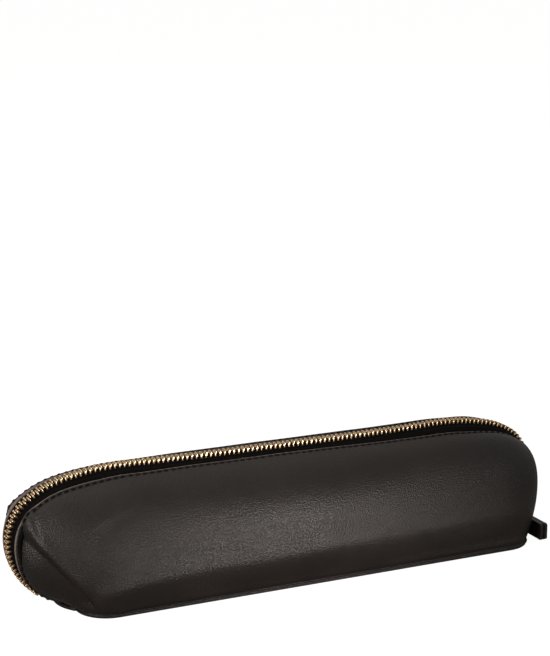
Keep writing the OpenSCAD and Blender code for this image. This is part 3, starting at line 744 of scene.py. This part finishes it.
for side in (FRONT, BACK):
    tape = grid_piece(SIDE_NAMES[side] + "_zip_tape", tape_grid, side)
    finish_piece(tape, ("SOLIDIFY", {"thickness": TAPE_T * MM, "offset": -1.0}))
    give(tape, ribbed_tape)
    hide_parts(SIDE_NAMES[side] + "_tape")
    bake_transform(tape)

# ---------------------------------------------------------------------------
# Zip teeth. Stamped brass teeth with a pale gold plating, clamped on the edge
# of each tape every 2 mm, with the heads of the two rows locked together.
# ---------------------------------------------------------------------------
TOOTH_PITCH, TOOTH_H, TOOTH_W, LEG_L, CHAIN_HALF_W = 2.0, 2.2, 0.88, 1.0, 2.25
# From the legs to the head's tip: how far each step goes, and how much wider and higher it gets.
TOOTH_STEPS = [(0.5, 0.6, 0.92), (0.75, 1.0, 1.0), (0.35, 1.4, 1.0), (0.5, 0.85, 0.9)]
TOOTH_EDGE_R = 0.18
BOTTOM_STOP_AT, BOTTOM_STOP_L, SLIDER_AT = 6.0, 2.0, 8.5
slider_s = zip_l - SLIDER_AT
chain_start = BOTTOM_STOP_AT + BOTTOM_STOP_L / 2 + TOOTH_PITCH / 2
tooth_count = int((slider_s - chain_start) / TOOTH_PITCH)


# Gold-plated brass: bright where it faces a lamp, and dulled in patches by handling.
def gold_plate(name, hex_code, rough):
    m = new_material(name)
    place = node(m, "ShaderNodeTexCoord").outputs["Object"]
    wear = node(m, "ShaderNodeTexNoise", {"Scale": 260.0, "Detail": 3.0}, {"Vector": place})
    gloss = node(m, "ShaderNodeMapRange", {"To Min": rough - 0.05, "To Max": rough + 0.10},
                 {"Value": wear.outputs[0]})
    bump = node(m, "ShaderNodeBump", {"Strength": 0.12, "Distance": 0.0001}, {"Height": wear.outputs[0]})
    return finish_material(m, {"Base Color": colour(hex_code), "Metallic": 1.0},
                           {"Roughness": gloss.outputs[0], "Normal": bump.outputs[0]})


pale_gold = gold_plate("pale_gold_plated_brass", "#f7dbb0", 0.28)
# The flanks between the teeth are painted darker and browner, as painted shade between the teeth, and are
# rougher.
shaded_flank_brass = gold_plate("brass_flank_painted_shade", "#6a4a2a", 0.45)


def tooth_proto():
    """One tooth: legs over the tape at -Y, a waist, and a head that reaches past the middle."""
    deselect_all()
    bpy.ops.mesh.primitive_cube_add(size=1)
    proto = bpy.context.object
    proto.scale = (TOOTH_W * MM, LEG_L * MM, TOOTH_H * MM)
    proto.location = (0, (-CHAIN_HALF_W + LEG_L / 2) * MM, 0)
    bpy.ops.object.transform_apply(location=True, rotation=True, scale=True)
    for f in proto.data.polygons:
        f.select = f.normal.y > 0.9
    bpy.ops.object.mode_set(mode="EDIT")
    bpy.ops.mesh.select_mode(type="FACE")
    for reach, wide, high in TOOTH_STEPS:
        bpy.ops.mesh.extrude_region_move(TRANSFORM_OT_translate={"value": (0, reach * MM, 0)})
        bpy.ops.transform.resize(value=(wide, 1, high), center_override=(0, 0, 0))
    bpy.ops.object.mode_set(mode="OBJECT")
    for v in proto.data.vertices:   # the legs' ends are pinched in on the tape
        if v.co.y < (-CHAIN_HALF_W + 0.1) * MM:
            v.co.x *= 0.86
            v.co.z *= 0.9
    finish_piece(proto, ("BEVEL", {"width": TOOTH_EDGE_R * MM, "segments": 2, "limit_method": "ANGLE",
                                   "angle_limit": radians(40)}))
    proto.data.materials.append(pale_gold)
    proto.data.materials.append(shaded_flank_brass)
    # The side faces take the darker flank colour: painted shade between the teeth.
    for face in proto.data.polygons:
        face.material_index = 1 if abs(face.normal.x) > 0.7 else 0
    return proto


def on_zip(s, side=FRONT):
    """A place on the chain: X along it, Z out of the case."""
    x, z, heading = zip_at(s)
    h = radians(heading)
    low = chain_sink(s)
    return frame_matrix((x + low * sin(h), 0, z - low * cos(h)), (cos(h), 0, sin(h)),
                        (-sin(h), 0, cos(h)), side)


one_tooth = tooth_proto()
for side in (FRONT, BACK):
    shift = 0.0 if side == FRONT else 0.5
    places = [on_zip(chain_start + (k + shift) * TOOTH_PITCH, side) for k in range(tooth_count)]
    teeth = copies(SIDE_NAMES[side] + "_zip_teeth", one_tooth, places)
    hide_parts(SIDE_NAMES[side] + "_teeth")
    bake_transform(teeth)
bpy.data.objects.remove(one_tooth)
softened_copy("chain_bottom_stop", "bottom_stop", 0.3, 2, pale_gold, "case_body")
for name in SIDE_NAMES.values():
    softened_copy(name + "_chain_top_stop", name + "_top_stop", 0.25, 2, pale_gold, "case_body")

# ---------------------------------------------------------------------------
# Slider. A die-cast slider with the same plating as the teeth; its bail is a
# small eye cast on the outer plate.
# ---------------------------------------------------------------------------
softened_copy("zip_slider", "slider_body", 0.22, 3, pale_gold, "slider")
softened_copy("zip_slider_bail", "slider_bail", 0.2, 3, pale_gold, "slider")

# ---------------------------------------------------------------------------
# Pull. A closed wire ring hangs from the bail, and a folded leather strap goes
# round the ring's wire; its two layers are sewn together along both edges.
# ---------------------------------------------------------------------------
give(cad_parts["pull_ring"], pale_gold)
RING_R = 3.4
STRAP_L, STRAP_W, STRAP_T, STRAP_DROP, STRAP_EDGE_R = 17.0, 7.0, 1.5, 1.3, 0.22
NECK_W, NECK_T, LOOP_R = 2.4, 0.9, 0.95
SHOWN_STRAP_T = 1.38   # of each layer, less a hair so that the two don't meet
SHOULDER_L = 0.9   # over which the strap narrows to its neck
PULL_STITCH_L, PULL_STITCH_R, PULL_STITCH_PITCH, PULL_STITCH_INSET = 2.0, 0.26, 2.8, 1.3
ring_low, ring_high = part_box("pull_ring")
loop_x = (ring_low[0] + ring_high[0]) / 2 / MM
loop_z = (ring_low[2] + ring_high[2]) / 2 / MM
loop_y = -RING_R
NECK_L = LOOP_R + NECK_T + 1.0


def strap_outline():
    """The strip's middle line from one free end, round the ring, to the other: x, y, half width, z."""
    rows = []
    half = STRAP_T / 2 + 0.04
    shoulder_y = -NECK_L - SHOULDER_L
    for y in np.linspace(-STRAP_L, shoulder_y, 22):
        end = max(0.0, 1.0 - (y + STRAP_L) / 0.7)
        splay = 0.24 * max(0.0, 1.0 - (y + STRAP_L) / 3.5) ** 2   # the glued layers part at the tip
        rows.append((-half - splay, y, STRAP_W / 2 - 0.5 * end ** 2, -STRAP_DROP))
    for k in range(1, 5):
        u = k / 4
        parted = ease(u, 0, 1)
        narrow = ease(u, 0, 1 / 1.8)
        rows.append((-half - 0.55 * parted, shoulder_y + SHOULDER_L * u,
                     STRAP_W / 2 + (NECK_W - STRAP_W) / 2 * narrow, -STRAP_DROP * (1 - parted)))
    r = LOOP_R + NECK_T / 2
    rows.append((-r, -1.0, NECK_W / 2, 0.0))
    for a in np.linspace(180, 90, 7):
        rows.append((r * cos(radians(a)), r * sin(radians(a)), NECK_W / 2, 0.0))
    return rows + [(-x, y, w, z) for x, y, w, z in rows[-2::-1]]


strap_grid = np.array([[[loop_x + x, loop_y + y, loop_z + z + w * v] for v in np.linspace(1, -1, 9)]
                       for x, y, w, z in strap_outline()])
strap_leather = smooth_calf("smooth_calf_pull", "#171413", "#1e1a18", 0.38, 0.08, 0.4)
strap = grid_piece("folded_pull_strap", strap_grid, FRONT)
finish_piece(strap, ("SOLIDIFY", {"thickness": SHOWN_STRAP_T * MM, "offset": 0.0}),
             ("BEVEL", {"width": STRAP_EDGE_R * MM, "segments": 2, "limit_method": "ANGLE",
                        "angle_limit": radians(50)}))
bpy.ops.object.shade_smooth_by_angle(angle=radians(50))
give(strap, strap_leather)
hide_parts("pull_strap")
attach(strap, "strap")

strap_stitch = stitch_proto(PULL_STITCH_L, PULL_STITCH_R)
sewn_l = STRAP_L - NECK_L - 2 * PULL_STITCH_INSET - PULL_STITCH_L
first_stitch_y = loop_y - STRAP_L + PULL_STITCH_INSET + PULL_STITCH_L / 2
places = []
for face in (-1, 1):
    for edge in (-1, 1):
        for k in range(int(sewn_l / PULL_STITCH_PITCH) + 1):
            places.append(frame_matrix(
                (loop_x + face * (STRAP_T + 0.08), first_stitch_y + k * PULL_STITCH_PITCH,
                 loop_z - STRAP_DROP + edge * (STRAP_W / 2 - PULL_STITCH_INSET)), (0, 1, 0), (face, 0, 0)))
pull_sewing = copies("pull_sewing", strap_stitch, places)
bpy.data.objects.remove(strap_stitch)
give(pull_sewing, waxed_thread)
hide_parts("pull_stitching")
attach(pull_sewing, "strap")

# ---------------------------------------------------------------------------
# Table, light and camera. A plain white table under large soft lamps, in a
# white studio that shows brighter in gloss than it lights the leather.
# ---------------------------------------------------------------------------
deselect_all()
bpy.ops.mesh.primitive_plane_add(size=8, location=(0, 0, -0.0002))
table = bpy.context.object
table.name = "white_table"
# A lit table top: white to the eye but for what the case shades, and dimmer
# to the leather, so that it throws little light up on the case.
white = new_material("white_table_top")
path = node(white, "ShaderNodeLightPath")
glow = node(white, "ShaderNodeEmission", {"Color": (1, 1, 1, 1), "Strength": 0.95})
lit = node(white, "ShaderNodeBsdfDiffuse", {"Color": (0.35, 0.35, 0.35, 1)})
seen_top = node(white, "ShaderNodeAddShader")
white.node_tree.links.new(glow.outputs[0], seen_top.inputs[0])
white.node_tree.links.new(lit.outputs[0], seen_top.inputs[1])
reflected_top = node(white, "ShaderNodeBsdfDiffuse", {"Color": (0.5, 0.47, 0.44, 1)})
top = node(white, "ShaderNodeMixShader", links={"Fac": path.outputs["Is Camera Ray"]})
white.node_tree.links.new(reflected_top.outputs[0], top.inputs[1])
white.node_tree.links.new(seen_top.outputs[0], top.inputs[2])
node(white, "ShaderNodeOutputMaterial", links={"Surface": top.outputs[0]})
give(table, white)

SKY_LIGHT, SKY_EXTRA_IN_GLOSS = 0.13, 0.27
world = bpy.data.worlds.new("studio")
bpy.context.scene.world = world
world.use_nodes = True
world.node_tree.nodes.clear()
sky_path = node(world, "ShaderNodeLightPath")
sky_strength = node(world, "ShaderNodeMath", {"operation": "MULTIPLY_ADD"})
world.node_tree.links.new(sky_path.outputs["Is Glossy Ray"], sky_strength.inputs[0])
sky_strength.inputs[1].default_value = SKY_EXTRA_IN_GLOSS
sky_strength.inputs[2].default_value = SKY_LIGHT
sky_lit = node(world, "ShaderNodeBackground", {"Color": (1.0, 0.95, 0.91, 1)},
               {"Strength": sky_strength.outputs[0]})
sky_white = node(world, "ShaderNodeBackground", {"Color": (1, 1, 1, 1), "Strength": 1.0})
sky = node(world, "ShaderNodeMixShader", links={"Fac": sky_path.outputs["Is Camera Ray"]})
world.node_tree.links.new(sky_lit.outputs[0], sky.inputs[1])
world.node_tree.links.new(sky_white.outputs[0], sky.inputs[2])
node(world, "ShaderNodeOutputWorld", links={"Surface": sky.outputs[0]})
SOFTBOX_COLOUR = (1.0, 0.925, 0.885)   # a little warm


def softbox(name, place, size, power, aim=(0, 0, 0.03), spread=180):
    """A rectangular lamp that faces the aim. A narrow spread keeps its light to one place."""
    deselect_all()
    bpy.ops.object.light_add(type="AREA", location=place)
    made = bpy.context.object
    made.name = name
    made.data.shape = "RECTANGLE"
    made.data.size, made.data.size_y = size
    made.data.energy = power
    made.data.color = SOFTBOX_COLOUR
    made.data.spread = radians(spread)
    made.rotation_euler = (Vector(aim) - Vector(place)).to_track_quat("-Z", "Y").to_euler()


# The low one draws the sheen along the lower half of the front wall.
softbox("low_front_softbox", (0.26, -0.92, 0.06), (0.10, 0.08), 0.037, (-0.012, -0.03, 0.02), 11)
softbox("front_softbox", (-0.50, -0.96, 0.36), (0.5, 0.4), 1.1)
softbox("left_softbox", (-0.95, -0.42, 0.34), (0.4, 0.35), 5.4)
softbox("top_softbox", (-0.20, 0.10, 1.1), (1.0, 0.6), 2.5)

camera_data = bpy.data.cameras.new("view")
camera = bpy.data.objects.new("view", camera_data)
bpy.context.collection.objects.link(camera)
camera_data.lens = 105.4
camera_data.sensor_width = 36.0
camera_data.clip_start = 0.01
camera.location = (-0.32215, -0.66553, 0.27577)
camera.rotation_euler = (radians(90 - 13.49), 0, radians(-25.105))
bpy.context.scene.camera = camera
bpy.context.scene.view_settings.view_transform = "Standard"
